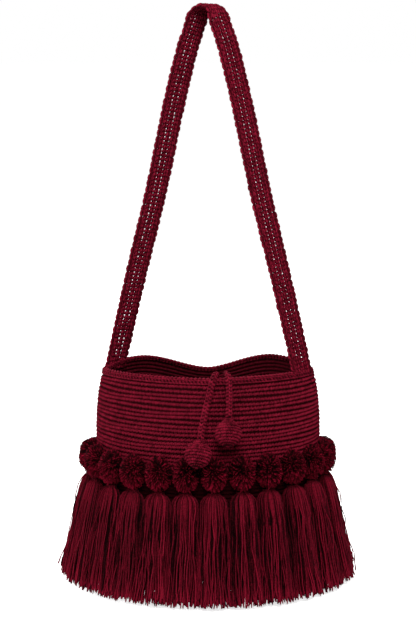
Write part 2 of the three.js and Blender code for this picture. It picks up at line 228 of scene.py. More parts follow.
# Pompoms and tassels hang at equal steps round the wall, on a ring that rises at the right and sags behind
TUFT_COUNT = 24
TUFT_LEAD = 0.0068
RING_RISE = (40, 75, 0.0035)
RING_SAG = 0.008
RING_SAG_FROM = 85
RING_SAG_TO = 115
GOLDEN_STEP = (math.sqrt(5) - 1) / 2
GOLDEN_TURN = math.pi * (3 - math.sqrt(5))
POMPOM_OFF_WALL = 0.004
POMPOM_BACK = 0.003
POMPOM_HALF = np.array([0.0160, 0.0198, 0.0217])
POMPOM_TIE = np.array([0, 0.001, 0.003])
POMPOM_STRANDS = 1040
POMPOM_WEDGES = 33
POMPOM_GATHER = 0.34
POMPOM_YARN = 0.00064
POMPOM_CORE = np.array([0.0118, 0.0060, 0.0160])
POMPOM_CORE_OUT = 0.003
POMPOM_CORE_LATITUDES = np.linspace(-85, 85, 9)
POMPOM_MIDDLE = 0.06
POMPOM_SPREAD = 108
POMPOM_CROWDING = 1.08
POMPOM_LAYERS = 3
LAYER_STAGGER = 0.37
HEADING_SPREAD = 0.06
TURN_SPREAD = 0.1
TUFT_SPREAD = 0.22
POMPOM_HOLLOW = 0.13
HOLLOW_SPAN = 48
FLUFF_SPREAD = 0.021
FLUFF_LOST_ASTRAY = 0.10
LONGEST_CUT = 1.03
CUT_PARTS = np.array([0.35, 1.0])
CUT_SWELL = np.array([0.8, 1.0])
# Painted shade at the root of each cut strand and painted light at its tip
CUT_SHADE_AND_LIGHT = np.array([-0.8, 0.34])
CUT_DROOP = np.array([0, 0, -0.0012])
CUT_SPREAD = 0.1

# Tone of a pompom's cut yarn, with painted light where fluff reaches further out and painted shade where it
# strays from its tuft, at the middle, sides towards neighbours and top
POMPOM_TONE = 0.28
FLUFF_SHADE_AND_LIGHT = 4.0
ASTRAY_SHADE = 0.6
MIDDLE_SHADE = 0.20
MIDDLE_SPAN = 46
SIDE_SHADE = 0.40
SIDE_FROM = 0.68
SIDE_TO = 0.96
TOP_SHADE = 0.26
CUT_MOTTLE = 0.15
TUFT_MOTTLE = 0.10

# Tassels, with rings of the bundle as drop, reach and depth, and parts of a strand from neck to knot
TASSEL_OFF_WALL = 0.0063
NECK_DROP = 0.1272
TASSEL_LEAN = 11.6
TASSEL_TIP_DROP = 0.252
TASSEL_RINGS = np.array([
    (0.0000, 0.0070, 0.0044),
    (0.0024, 0.0064, 0.0041),
    (0.0048, 0.0098, 0.0054),
    (0.0095, 0.0126, 0.0070),
    (0.0170, 0.0146, 0.0090),
    (0.0300, 0.0158, 0.0108),
    (0.0700, 0.0173, 0.0115),
    (0.1280, 0.0198, 0.0128),
])
TASSEL_YARN = 0.00062
TASSEL_YARN_SPREAD = 0.12
TASSEL_STRANDS = 144
TASSEL_FILLING = 46
TASSEL_LAYERS = (0.58, 1.06)
TASSEL_TURN_SPREAD = 0.8
LAYER_SPREAD = 0.45
TASSEL_LOCKS = 34
LOCK_SPREAD = 0.25
LOCK_MOTTLE = 0.05
LOCK_END_SPREAD = 0.0006
TASSEL_GATHER = 0.22
GATHER_FROM = 0.12
GATHER_TO = 0.97
HANG_FROM = 0.3
TASSEL_STRAYS = 0.085
STRAY_SWAY = 5.4
STRAND_WAVES = {"sway": (0.0008, 5, 11), "slip": (0.0009, 4, 9), "curl": (0.0007, 13, 25)}
SLIP_GROWTH = 1.2
KNOT_RISE = 0.001
END_SPREAD = 0.0027
END_LIMITS = (-0.009, 0.0035)
TASSEL_PARTS = np.array([0.004, 0.020, 0.042, 0.085, 0.16, 0.28, 0.41, 0.54, 0.67, 0.80, 0.92, 0.985, 1.0])
TASSEL_SWELL = np.array([0.6, 0.6, 0.75, 0.9, 1, 1, 1, 1, 1, 1.05, 1.1, 1.6, 1.0])
# Tones along a strand: painted shade at the neck under the pompom, painted light at the knot
TASSEL_SHADE_AND_LIGHT = np.array([-0.4, -0.28, 0.0, 0.1, 0.1, 0, 0, 0, 0, 0.08, 0.26, 0.7, 0.8])
# Painted shade deep in the bundle and painted light on its outer strands
DEEP_STRAND_SHADE = -0.92
OUTER_STRAND_LIGHT = 1.72
STREAK_MOTTLE = 0.32
STREAK_AT_NECK = 0.4
STREAK_SPAN = 0.4
# Painted shade on the flanks of the head, where neighbouring tassels shade it, fading down the strand
FLANK_SHADE = 0.52
FLANK_FROM = 0.5
FLANK_FADE = 0.8
FLANK_BELOW = (-0.04, 0.12)
SIDE_SPLAY = 0.24
HEAD_SWELL = 0.15
HEAD_DROP = 0.009
HEAD_REACH = 0.009
FILLING_PARTS = np.array([0.50, 0.80, 1.0])
# Filling tones: painted shade inside the bundle, paler towards the filling's ends
FILLING_SHADE = np.array([0.0, 0.15, 0.9])
FILLING_REACH = 0.9
FILLING_RISE = 0.002
FILLING_END_SPREAD = 0.0018
FILLING_SWELL = 1.25
TASSEL_CORE_DROPS = (0.001, 0.0045, 0.0095, 0.017, 0.060)
TASSEL_CORE_RISE = 0.016
TASSEL_CORE_DEPTH = 0.72
TASSEL_CORE_FLATNESS = 1.5
BINDING_WRAPS = 3
BINDING_YARN = 0.0007
BINDING_REACH = 0.0066
BINDING_DEPTH = 0.0043
BINDING_DROP = 0.0008
BINDING_PITCH = 0.0009
# The binding is painted darker as shade under the pompom
BINDING_SHADE_TONE = 0.35

# Ties: round crocheted cords, and the stuffed balls at their ends
TIE_DIAMETER = 0.0064
TIE_REACH = 0.0041
TIE_COLUMNS = 4
TIE_YARN = 0.00108
TIE_STITCH = 0.0042
TIE_SINK = 0.0013
TIE_STEP = 0.001
TIE_OVERLAP = 0.64
TIE_LEADS = (0.25, 0.75)
TIE_TURN = 0.42
TIE_TURN_DRAW = 0.30
TIE_TONE = 0.6
TIE_MOTTLE = 0.14
TIE_LEG_MOTTLE = 0.06
TIE_CORE = 0.8
BALL_RADIUS = 0.0155
BALL_NECK = 0.0185
BALL_GAP = 0.0003
BALL_ROW = 0.0040
BALL_STITCH = 0.0045
BALL_LATITUDES = np.linspace(-90, 36, 13)
BALL_BOTTOM = 0.0004
BALL_STUFFING = 0.85
BALL_LIFT = 0.0005
BALL_FEWEST = 4

# The knot that closes a ball at its bottom: depth under the ball's centre, radius and tone, darker deeper in
# as painted shade
BALL_CLOSING = np.array([(0.0162, 0.0011, 0.7), (0.0152, 0.0023, 0.5), (0.0125, 0.0028, 0.0)])

# Each tie's route from its sewn end inside the wall over the front rim to its ball
TIE_ROUTES = {
    "left": (
        (0.0110, -0.0750, -0.4551), (0.0110, -0.0716, -0.4502), (0.0110, -0.0676, -0.4443),
        (0.0110, -0.0636, -0.4382), (0.0109, -0.0614, -0.4312), (0.0105, -0.0626, -0.4262),
        (0.0098, -0.0661, -0.4227), (0.0088, -0.0709, -0.4214), (0.0073, -0.0757, -0.4226),
        (0.0058, -0.0794, -0.4260), (0.0039, -0.0826, -0.4320), (0.0022, -0.0859, -0.4385),
        (0.0004, -0.0895, -0.4458), (-0.0016, -0.0934, -0.4536), (-0.0037, -0.0975, -0.4624),
        (-0.0057, -0.1018, -0.4712), (-0.0073, -0.1065, -0.4800), (-0.0086, -0.1112, -0.4884),
    ),
    "right": (
        (0.0180, -0.0730, -0.4551), (0.0180, -0.0696, -0.4502), (0.0180, -0.0656, -0.4443),
        (0.0181, -0.0616, -0.4382), (0.0185, -0.0592, -0.4312), (0.0193, -0.0601, -0.4262),
        (0.0205, -0.0635, -0.4227), (0.0219, -0.0682, -0.4214), (0.0231, -0.0730, -0.4226),
        (0.0239, -0.0768, -0.4259), (0.0244, -0.0807, -0.4318), (0.0246, -0.0849, -0.4384),
        (0.0246, -0.0892, -0.4452), (0.0244, -0.0934, -0.4518), (0.0242, -0.0974, -0.4589),
        (0.0239, -0.1013, -0.4658),
    ),
}

# The photograph's view: straight from the front, a little under the height of the strap's fold, tilted down
CAMERA_BACK = 1.900
CAMERA_Z = -0.04476
CAMERA_PITCH = 9.4
CAMERA_LENS = 92.59
CAMERA_SENSOR = 36.0

# Studio: a white floor close under the tassels, an even glow and softboxes, as place, size and power
FLOOR_GAP = 0.0005
FLOOR_SIZE = 60.0
FLOOR_SHADE = 0.55
FLOOR_SEEN = 0.95
FLOOR_GLOW = 0.72
FLOOR_ROUGHNESS = 0.9
WHITE = (1, 1, 1, 1)
AMBIENT = 0.30
SOFTBOXES = {
    "key": ((0.10, -1.5, 1.30), 1.2, 80),
    "fill": ((-1.7, -0.7, 0.1), 1.0, 22),
    "back": ((-1.1, 1.6, 0.7), 1.0, 40),
}
SOFTBOX_TARGET = Vector((0, 0, -0.45))

# Yarn's surface: ridges of its plies, fibres between them, and shares of flecks, strand tone (random dye
# with painted shade and light) and fibre in the dye
NOISE_DETAIL = 2.0
RIDGE_ROUNDNESS = 0.6
FIBRE_STRETCH = 4.0
FIBRE_RELIEF = 0.35
FLECK_SHARE = 0.45
STRAND_SHARE = 0.6
FIBRE_SHARE = 0.2
DYE_DEEP_AT = 0.35
DYE_PALE_AT = 0.92
ROUGHNESS_SPREAD = 0.08
PLY_BUMP = 0.6
PLY_DEPTH = 0.0003
YARN_GLOSS = 0.03
SHEEN_ROUGHNESS = 0.45
SHEEN_TINT = (0.60, 0.08, 0.16, 1)


# Curves and frames, and how finely they are measured

COURSE_STEPS = 40
ROUND_STEPS = 1441
RING_STEPS = 4001


def unit(vectors):
    return vectors / np.linalg.norm(vectors, axis=-1, keepdims=True)


def ramp(value, start, end):
    """A smooth rise from 0 at start to 1 at end."""
    t = np.clip((value - start) / (end - start), 0, 1)
    return t * t * (3 - 2 * t)


def scatter(rng, spread, *shape):
    """Seeded random differences about 0."""
    return spread * rng.standard_normal(shape)


def smooth_values(knots, values, at):
    """Values between knots on a smooth curve, each knot's slope coming from its two neighbours."""
    values = np.asarray(values, float)
    rows = np.arange(len(knots))
    before = np.maximum(rows - 1, 0)
    after = np.minimum(rows + 1, len(knots) - 1)
    columns = values.reshape(len(knots), -1)
    slopes = (columns[after] - columns[before]) / (knots[after] - knots[before])[:, None]
    at = np.asarray(at, float)
    row = np.clip(np.searchsorted(knots, at.ravel()) - 1, 0, len(knots) - 2)
    span = (knots[row + 1] - knots[row])[:, None]
    t = np.clip((at.ravel() - knots[row])[:, None] / span, 0, 1)
    result = ((2 * t**3 - 3 * t**2 + 1) * columns[row] + (t**3 - 2 * t**2 + t) * span * slopes[row]
              + (3 * t**2 - 2 * t**3) * columns[row + 1] + (t**3 - t**2) * span * slopes[row + 1])
    return result.reshape(at.shape + values.shape[1:])


def run_lengths(points):
    """Length along a line of points, from 0 at the first."""
    steps = np.linalg.norm(np.diff(points, axis=-2), axis=-1)
    return np.concatenate([np.zeros(steps.shape[:-1] + (1,)), np.cumsum(steps, axis=-1)], axis=-1)


def read_off(table, along, at):
    """The columns of a table read off at lengths along it."""
    return np.stack([np.interp(at, along, column) for column in table.T], axis=-1)


def even_course(table, count):
    """A smooth curve through a table's points, at equal steps, with its further columns carried along."""
    knots = run_lengths(table[:, :3])
    fine = smooth_values(knots, table, np.linspace(0, knots[-1], COURSE_STEPS * len(table)))
    along = run_lengths(fine[:, :3])
    return read_off(fine, along, np.linspace(0, along[-1], count))


def even_places(length, count, lead=0.5):
    """Places at equal steps along a length, the first a part of a step from its start."""
    return (np.arange(count) + lead) * length / count


def carried_normals(points, first):
    """A normal carried along a line of points with no twist of its own."""
    tangents = unit(np.gradient(points, axis=0))
    normals = []
    normal = np.asarray(first, float)
    for tangent in tangents:
        normal = unit(normal - tangent * normal.dot(tangent))
        normals.append(normal)
    return tangents, np.array(normals)


# The wall's form

def signed_power(value, power):
    return np.sign(value) * np.abs(value) ** power


def bump(bearing, middle, half_span):
    """A rounded bump over a span of bearings, 1 at its middle."""
    away = np.abs(bearing - middle) % 360
    turn = np.minimum(away, 360 - away) / half_span
    return np.where(turn < 1, np.cos(np.minimum(turn, 1) * math.pi / 2) ** 2, 0)


def section(table, drop):
    """A table's columns at drops, on smooth curves through its rows."""
    return np.moveaxis(smooth_values(table[:, 0], table[:, 1:], drop), -1, 0)


def wall_points(bearing, drop, inset=0.0, reach=1.0):
    """Points of the wall, inset inwards from the crests of its rows, with reach 0 on the bag's axis."""
    bearing, drop, inset = np.broadcast_arrays(np.asarray(bearing, float), drop, inset)
    half_width, half_depth, roundness = section(WALL_SECTIONS, drop)
    power = 2 / roundness
    slack = 1 - ramp(drop, 0, POMPOM_DROP)
    lift = sum(size * bump(bearing, middle, half_span) for middle, half_span, size in RIM_WAVES)
    middle, half_span, depth = BACK_DENT
    dent = depth * bump(bearing, middle, half_span) * slack
    turn = np.radians(bearing)
    x = (half_width - inset) * signed_power(np.sin(turn), power)
    y = -(half_depth - inset) * signed_power(np.cos(turn), power) - dent
    return np.stack([x * reach, y * reach, RIM_Z - drop + lift * slack], axis=-1)


def wall_frames(bearing, drop, inset):
    """Directions round the wall, down it and out of it."""
    turn_step = 0.4
    drop_step = 0.0008
    around = wall_points(bearing + turn_step, drop, inset) - wall_points(bearing - turn_step, drop, inset)
    down = wall_points(bearing, drop + drop_step, inset) - wall_points(bearing, drop - drop_step, inset)
    return unit(around), unit(down), unit(np.cross(unit(down), unit(around)))


def row_bearings(drop, pitch, phase):
    """Bearings at equal steps round the wall, about a pitch apart, and the step that they have."""
    fine = np.linspace(0, 360, ROUND_STEPS)
    along = run_lengths(wall_points(fine, drop))
    count = round(along[-1] / pitch)
    places = (np.arange(count) + phase) / count * along[-1]
    return np.interp(places % along[-1], along, fine), along[-1] / count


# Yarn: many strands gathered into one mesh

def straight_strand(sides, rings):
    """A closed strand of unit radius along Z, with a ring of points at each whole height.

    Gives its points, its faces' corners, each corner's turn about the strand and each face's first corner.
    """
    strand = bmesh.new()
    bmesh.ops.create_circle(strand, cap_ends=True, segments=sides, radius=1.0)
    for ring in range(1, rings):
        end = [face for face in strand.faces if all(vert.co.z > ring - 1.5 for vert in face.verts)]
        grown = bmesh.ops.extrude_face_region(strand, geom=end)["geom"]
        tip = [part for part in grown if isinstance(part, bmesh.types.BMVert)]
        bmesh.ops.translate(strand, vec=(0, 0, 1), verts=tip)
        if ring > 1:
            bmesh.ops.delete(strand, geom=end, context="FACES_ONLY")
    bmesh.ops.recalc_face_normals(strand, faces=strand.faces)
    strand.verts.index_update()
    points = np.array([vert.co for vert in strand.verts])
    corners = []
    turns = []
    starts = []
    for face in strand.faces:
        starts.append(len(corners))
        centre = face.calc_center_median()
        middle = math.atan2(centre.y, centre.x)
        for vert in face.verts:
            away = math.atan2(vert.co.y, vert.co.x) - middle
            corners.append(vert.index)
            turns.append((middle + math.remainder(away, math.tau)) / math.tau)
    strand.free()
    return points, np.array(corners), turns, np.array(starts)


class YarnHeap:
    """Strands of yarn in one mesh, each a straight strand bent along its own route."""

    def __init__(self):
        self.parts = []
        self.point_count = 0
        self.corner_count = 0

    def lay(self, routes, radii, facing, tones, sides, flatness=1.0):
        """Adds strands along routes of (strands, rings, 3), one side turned to facing.

        Each ring has its radius and its tone, kept between 0, deep, and 1, pale.
        """
        routes = np.asarray(routes, float)
        strands, rings = routes.shape[:2]
        radii = np.broadcast_to(radii, (strands, rings))
        tones = np.clip(np.broadcast_to(tones, (strands, rings)), 0, 1)
        tangents = unit(np.gradient(routes, axis=1))
        facing = np.broadcast_to(facing, routes.shape)
        normals = unit(facing - tangents * np.sum(facing * tangents, axis=-1, keepdims=True))
        binormals = np.cross(tangents, normals) * flatness
        places, corners, turns, starts = straight_strand(sides, rings)
        ring = np.rint(places[:, 2]).astype(int)
        across = places[:, :1] * normals[:, ring] + places[:, 1:2] * binormals[:, ring]
        lengths = run_lengths(routes)[:, ring[corners]]
        copies = np.arange(strands)[:, None]
        self.parts.append((
            (routes[:, ring] + across * radii[:, ring, None]).reshape(-1, 3),
            (corners + copies * len(places) + self.point_count).ravel(),
            (starts + copies * len(corners) + self.corner_count).ravel(),
            np.stack([np.broadcast_to(turns, lengths.shape), lengths], axis=-1).reshape(-1, 2),
            tones[:, ring].ravel(),
        ))
        self.point_count += strands * len(places)
        self.corner_count += strands * len(corners)

    def mesh(self, name):
        points, corners, starts, uvs, tones = (np.concatenate(part) for part in zip(*self.parts))
        mesh = bpy.data.meshes.new(name)
        mesh.vertices.add(len(points))
        mesh.loops.add(len(corners))
        mesh.polygons.add(len(starts))
        mesh.vertices.foreach_set("co", points.ravel())
        mesh.loops.foreach_set("vertex_index", corners)
        mesh.polygons.foreach_set("loop_start", starts)
        mesh.update(calc_edges=True)
        mesh.uv_layers.new(name="yarn").uv.foreach_set("vector", uvs.ravel())
        mesh.attributes.new("tone", "FLOAT", "POINT").data.foreach_set("value", tones)
        mesh.shade_smooth()
        return mesh


# Materials

SOCKET_KINDS = {1: "NodeSocketFloat", 3: "NodeSocketVector", 4: "NodeSocketColor"}


def shader_group(name, inputs, outputs):
    """An empty shader node group with named sockets, its inputs given as their defaults."""
    group = bpy.data.node_groups.new(name, "ShaderNodeTree")
    for label, default in inputs.items():
        kind = SOCKET_KINDS[np.size(default)]
        group.interface.new_socket(label, in_out="INPUT", socket_type=kind).default_value = default
    for label, size in outputs.items():
        group.interface.new_socket(label, in_out="OUTPUT", socket_type=SOCKET_KINDS[size])
    return group, group.nodes.new("NodeGroupInput").outputs, group.nodes.new("NodeGroupOutput").inputs


def feed(tree, socket, value):
    """Links a socket, or sets its value."""
    if isinstance(value, bpy.types.NodeSocket):
        tree.links.new(value, socket)
    else:
        socket.default_value = value


def math_node(tree, operation, *values):
    node = tree.nodes.new("ShaderNodeMath")
    node.operation = operation
    for socket, value in zip(node.inputs, values):
        feed(tree, socket, value)
    return node.outputs[0]


def feed_all(tree, node, inputs):
    """Links or sets the named inputs of a node."""
    for label, value in inputs.items():
        feed(tree, node.inputs[label], value)


def added(tree, kind, inputs, group=None):
    """A new shader node with its inputs fed."""
    node = tree.nodes.new(kind)
    if group:
        node.node_tree = group
    feed_all(tree, node, inputs)
    return node


def noise_node(tree, vector, scale):
    inputs = {"Vector": vector, "Scale": scale, "Detail": NOISE_DETAIL}
    return added(tree, "ShaderNodeTexNoise", inputs).outputs["Fac"]


def yarn_ply_group():
    """Twisted plies: round ridges that wind along a strand, with fine fibres between them."""
    group, inside, out = shader_group(
        "yarn_ply",
        {
            "UV": (0, 0, 0),
            "Plies": 3.0,
            "Turns per metre": 150.0,
            "Fibres per metre": 900.0,
        },
        {"Height": 1, "Fibre": 1},
    )
    split = added(group, "ShaderNodeSeparateXYZ", {"Vector": inside["UV"]}).outputs
    winding = math_node(group, "MULTIPLY", split["X"], inside["Plies"])
    winding = math_node(group, "MULTIPLY_ADD", split["Y"], inside["Turns per metre"], winding)
    wave = math_node(group, "SINE", math_node(group, "MULTIPLY", winding, math.pi))
    ridge = math_node(group, "POWER", math_node(group, "ABSOLUTE", wave), RIDGE_ROUNDNESS)
    stretched = added(group, "ShaderNodeCombineXYZ", {
        "X": math_node(group, "MULTIPLY", winding, FIBRE_STRETCH),
        "Y": math_node(group, "MULTIPLY", split["Y"], inside["Fibres per metre"]),
    })
    fibre = noise_node(group, stretched.outputs[0], 1.0)
    feed(group, out["Height"], math_node(group, "MULTIPLY_ADD", fibre, FIBRE_RELIEF, ridge))
    feed(group, out["Fibre"], fibre)
    return group


def yarn_tone_group():
    """Heathered dye: fine flecks in the yarn, and each strand lighter or darker along its way, by random dye
    and by painted shade and light.
    """
    group, inside, out = shader_group(
        "yarn_tone",
        {
            "Position": (0, 0, 0),
            "Strand tone": 0.5,
            "Fibre": 0.5,
            "Deep dye and shade": (0.1, 0.0, 0.02, 1),
            "Pale dye": (0.3, 0.02, 0.06, 1),
            "Flecks per metre": 450.0,
        },
        {"Colour": 4},
    )
    flecks = noise_node(group, inside["Position"], inside["Flecks per metre"])
    mixed = math_node(group, "MULTIPLY", inside["Strand tone"], STRAND_SHARE)
    mixed = math_node(group, "MULTIPLY_ADD", flecks, FLECK_SHARE, mixed)
    mixed = math_node(group, "MULTIPLY_ADD", inside["Fibre"], FIBRE_SHARE, mixed)
    dyed = {"Value": mixed, "From Min": DYE_DEEP_AT, "From Max": DYE_PALE_AT}
    blend = added(group, "ShaderNodeMapRange", dyed)
    colour = group.nodes.new("ShaderNodeMix")
    colour.data_type = "RGBA"
    feed(group, colour.inputs["Factor"], blend.outputs[0])
    feed(group, colour.inputs[6], inside["Deep dye and shade"])
    feed(group, colour.inputs[7], inside["Pale dye"])
    feed(group, out["Colour"], colour.outputs[2])
    return group


def yarn_material(name, deep, pale, plies=3, turns=150, roughness=0.85, sheen=0.03):
    """Dyed yarn of twisted plies, with a soft sheen of loose fibres."""
    material = bpy.data.materials.new(name)
    material.use_nodes = True
    tree = material.node_tree
    uv = tree.nodes.new("ShaderNodeUVMap")
    uv.uv_map = "yarn"
    place = tree.nodes.new("ShaderNodeTexCoord")
    strand = tree.nodes.new("ShaderNodeAttribute")
    strand.attribute_name = "tone"
    twist = {"UV": uv.outputs["UV"], "Plies": plies, "Turns per metre": turns}
    ply = added(tree, "ShaderNodeGroup", twist, YARN_PLY).outputs
    tone = added(tree, "ShaderNodeGroup", {
        "Position": place.outputs["Object"],
        "Strand tone": strand.outputs["Fac"],
        "Fibre": ply["Fibre"],
        "Deep dye and shade": (*deep, 1),
        "Pale dye": (*pale, 1),
    }, YARN_TONE)
    worn = added(tree, "ShaderNodeMapRange", {
        "Value": ply["Fibre"],
        "To Min": roughness - ROUGHNESS_SPREAD,
        "To Max": roughness + ROUGHNESS_SPREAD,
    })
    relief = added(tree, "ShaderNodeBump", {
        "Strength": PLY_BUMP,
        "Distance": PLY_DEPTH,
        "Height": ply["Height"],
    })
    feed_all(tree, tree.nodes["Principled BSDF"], {
        "Base Color": tone.outputs["Colour"],
        "Roughness": worn.outputs[0],
        "Normal": relief.outputs["Normal"],
        "Specular IOR Level": YARN_GLOSS,
        "Sheen Weight": sheen,
        "Sheen Roughness": SHEEN_ROUGHNESS,
        "Sheen Tint": SHEEN_TINT,
    })
    return material


YARN_PLY = yarn_ply_group()
YARN_TONE = yarn_tone_group()
# Each yarn's deep colour serves both its darker dye and its painted shade
CROCHET = yarn_material("crochet cotton", (0.012, 0.0001, 0.0008), (0.170, 0.0056, 0.0185))
STRAP = yarn_material("strap cotton", (0.030, 0.0004, 0.0022), (0.165, 0.0054, 0.0180))
POMPOM = yarn_material("pompom yarn", (0.004, 0.0000, 0.0002), (0.188, 0.0032, 0.0155), 2, 220, 0.9, 0.02)
TASSEL = yarn_material("tassel yarn", (0.005, 0.0001, 0.0004), (0.150, 0.0034, 0.0134), 2, 260, 0.8)
TIE = yarn_material("tie cotton", (0.012, 0.0001, 0.0008), (0.168, 0.0052, 0.0180))


def dress(mesh, material, slot, *nodes):
    """Puts a finished mesh in the scene as a piece that rides on the bag and stands for its solids."""
    mesh.materials.append(material)
    piece = bpy.data.objects.new(mesh.name, mesh)
    bpy.context.scene.collection.objects.link(piece)
    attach(piece, "root")
    if nodes:
        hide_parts(*nodes)
    return piece


# Camera

def photo_camera():
    data = bpy.data.cameras.new("photo_camera")
    data.sensor_width = CAMERA_SENSOR
    data.lens = CAMERA_LENS
    camera = bpy.data.objects.new("photo_camera", data)
    camera.location = (0, -CAMERA_BACK, CAMERA_Z)
    camera.rotation_euler = (math.radians(90 - CAMERA_PITCH), 0, 0)
    bpy.context.scene.collection.objects.link(camera)
    bpy.context.scene.camera = camera


# Stitches

def crochet_row(heap, centres, around, down, out, width, height, rng, style, shade=0.0):
    """One row of stitches: slanted legs that rise from one groove, cross the rib and sink in the next."""
    count = len(centres)
    yarn = style["yarn"]
    tones = STITCH_TONE - shade + scatter(rng, style["mottle"], count)
    lean = STITCH_SLANT * width * (1 + scatter(rng, SLANT_SPREAD, count))
    puff = scatter(rng, PUFF_SPREAD, count)
    for side, length, sunk_shade in STITCH_PAIR:
        across = side * width * (1 - STITCH_DRAW * LEG_HEIGHTS) - 2 * lean[:, None] * LEG_HEIGHTS
        lift = puff[:, None] - yarn - style["sink"] * LEG_ROUND
        routes = (centres[:, None] + around[:, None] * across[..., None]
                  + down[:, None] * (0.5 * length * height * LEG_HEIGHTS)[:, None]
                  + out[:, None] * lift[..., None])
        swell = yarn * (1 + scatter(rng, YARN_SPREAD, count))
        # painted shade where the leg's ends sink into the grooves, and painted light on its crest
        tone = tones[:, None] + scatter(rng, LEG_MOTTLE, count, 1) + sunk_shade
        heap.lay(routes, swell[:, None] * LEG_SWELL, out[:, None], tone, sides=4, flatness=LEG_FLATNESS)


def rim_edging(heap, rng):
    """The rolled edging: lines of slanted loops that lie along the rim."""
    for drop, inset, loop, phase, overlap, slant, yarn, arch, shade in EDGING_LINES:
        bearing, pitch = row_bearings(drop, loop, phase)
        around, down, out = wall_frames(bearing, drop, inset)
        raised, across = (out, down) if inset < WALL / 2 else (-out, down)
        if drop < EDGING_CROWN:
            raised, across = -down, out
        routes = (wall_points(bearing, drop, inset)[:, None]
                  + around[:, None] * (overlap * pitch * LEG_HEIGHTS)[:, None]
                  + across[:, None] * (slant * LEG_HEIGHTS)[:, None]
                  - raised[:, None] * (arch * LEG_HEIGHTS ** 2)[:, None])
        # painted shade: a lower tone for the lines inside the rim and at the sunk ends of each loop
        tones = shade + scatter(rng, EDGING_MOTTLE, len(bearing), 1) + EDGING_SHADE_SHARE * LEG_SHADE_AND_LIGHT
        heap.lay(routes, yarn * LEG_SWELL, raised[:, None], tones, sides=4)


def row_drop(row, bearing):
    """Middle of a row, which wavers a little on its way round."""
    turn = np.radians(bearing)
    waver = sum(size * np.sin(waves * turn + step * row) for waves, step, size in ROW_WAVES)
    return EDGING + (row + 0.5) * ROW_PITCH + ROW_WAVER * waver


def wall_stitches(name, rows, with_rim):
    """Rows of stitches on the outside of the wall, with shade painted on them behind the pompoms, and the
    rim's edging.
    """
    rng = np.random.default_rng(11 + rows[0])
    heap = YarnHeap()
    if with_rim:
        rim_edging(heap, rng)
    for row in rows:
        bearing, pitch = row_bearings(EDGING + (row + 0.5) * ROW_PITCH, STITCH_WIDTH, rng.random())
        drop = row_drop(row, bearing)
        # painted shade on the rows behind the pompoms
        shade = SHADED_TONE * ramp(drop, SHADED_FROM, SHADED_BY)
        crochet_row(heap, wall_points(bearing, drop), *wall_frames(bearing, drop, 0.0), pitch, ROW_PITCH,
                    rng, STITCH_LEGS, shade)
    return heap.mesh(name)


# Wall

def row_rings(row, profile):
    """Rings of one row of the wall, from its foot up."""
    foot = EDGING + (row + 1) * ROW_PITCH
    return [(foot - part * ROW_PITCH, inset, 1.0, tone) for part, inset, tone in profile]


def wall_rings():
    """The wall's rings from the middle of the base, up the ribbed outside, over the rim and down inside.

    Each ring has its drop, its inset, its reach from the bag's axis and its tone, in which shade is painted.
    """
    rings = []
    for line in range(2 * BASE_ROWS):
        reach = (line + 1) / (2 * BASE_ROWS + 1)
        rings.append((BASE_DROP - (line % 2) * BASE_RELIEF, 0.0, reach, BASE_TONES[line % 2]))
    for row in reversed(range(WALL_ROWS)):
        hidden = COVERED_ROW if row < STITCHED_ROWS else SHADED_ROW
        rings += row_rings(row, hidden if row < SHADED_ROWS else BARE_ROW)
    rings += [(drop, inset, 1.0, tone) for drop, inset, tone in RIM_SECTION]
    for row in range(WALL_ROWS - 1):
        rings += row_rings(row, INNER_ROW if row < INNER_RIBS else PLAIN_INNER_ROW)
    for row in reversed(range(BASE_ROWS)):
        rings.append((BASE_DROP - WALL, WALL, (row + 0.5) / BASE_ROWS, INNER_BASE_TONE))
    return rings


def bag_wall():
    wall = bmesh.new()
    bearing_of = wall.verts.layers.float.new("bearing")
    tone_of = wall.verts.layers.float.new("tone")
    bmesh.ops.create_circle(wall, cap_ends=True, segments=WALL_SECTORS, radius=1.0)
    ring = wall.verts[:]
    for vert, bearing in zip(ring, np.linspace(0, 360, WALL_SECTORS, endpoint=False)):
        vert[bearing_of] = bearing
    edges = wall.edges[:]
    for number, (drop, inset, reach, tone) in enumerate(wall_rings()):
        if number:
            grown = bmesh.ops.extrude_edge_only(wall, edges=edges)["geom"]
            ring = [part for part in grown if isinstance(part, bmesh.types.BMVert)]
            edges = [part for part in grown if isinstance(part, bmesh.types.BMEdge) and part.is_boundary]
        points = wall_points(np.array([vert[bearing_of] for vert in ring]), drop, inset, reach)
        for vert, point in zip(ring, points):
            vert.co = point
            vert[tone_of] = tone
    bmesh.ops.edgeloop_fill(wall, edges=edges)
    bmesh.ops.recalc_face_normals(wall, faces=wall.faces)
    yarn = wall.loops.layers.uv.new("yarn")
    for face in wall.faces:
        bearings = [loop.vert[bearing_of] for loop in face.loops]
        wraps = max(bearings) - min(bearings) > 180
        for loop, bearing in zip(face.loops, bearings):
            full = bearing + 360 if wraps and bearing < 180 else bearing
            loop[yarn].uv = ((RIM_Z - loop.vert.co.z) / ROW_PITCH, full / 360 * WALL_GIRTH)
    mesh = bpy.data.meshes.new("bag_wall")
    wall.to_mesh(mesh)
    wall.free()
    mesh.shade_smooth()
    return mesh


# Strap

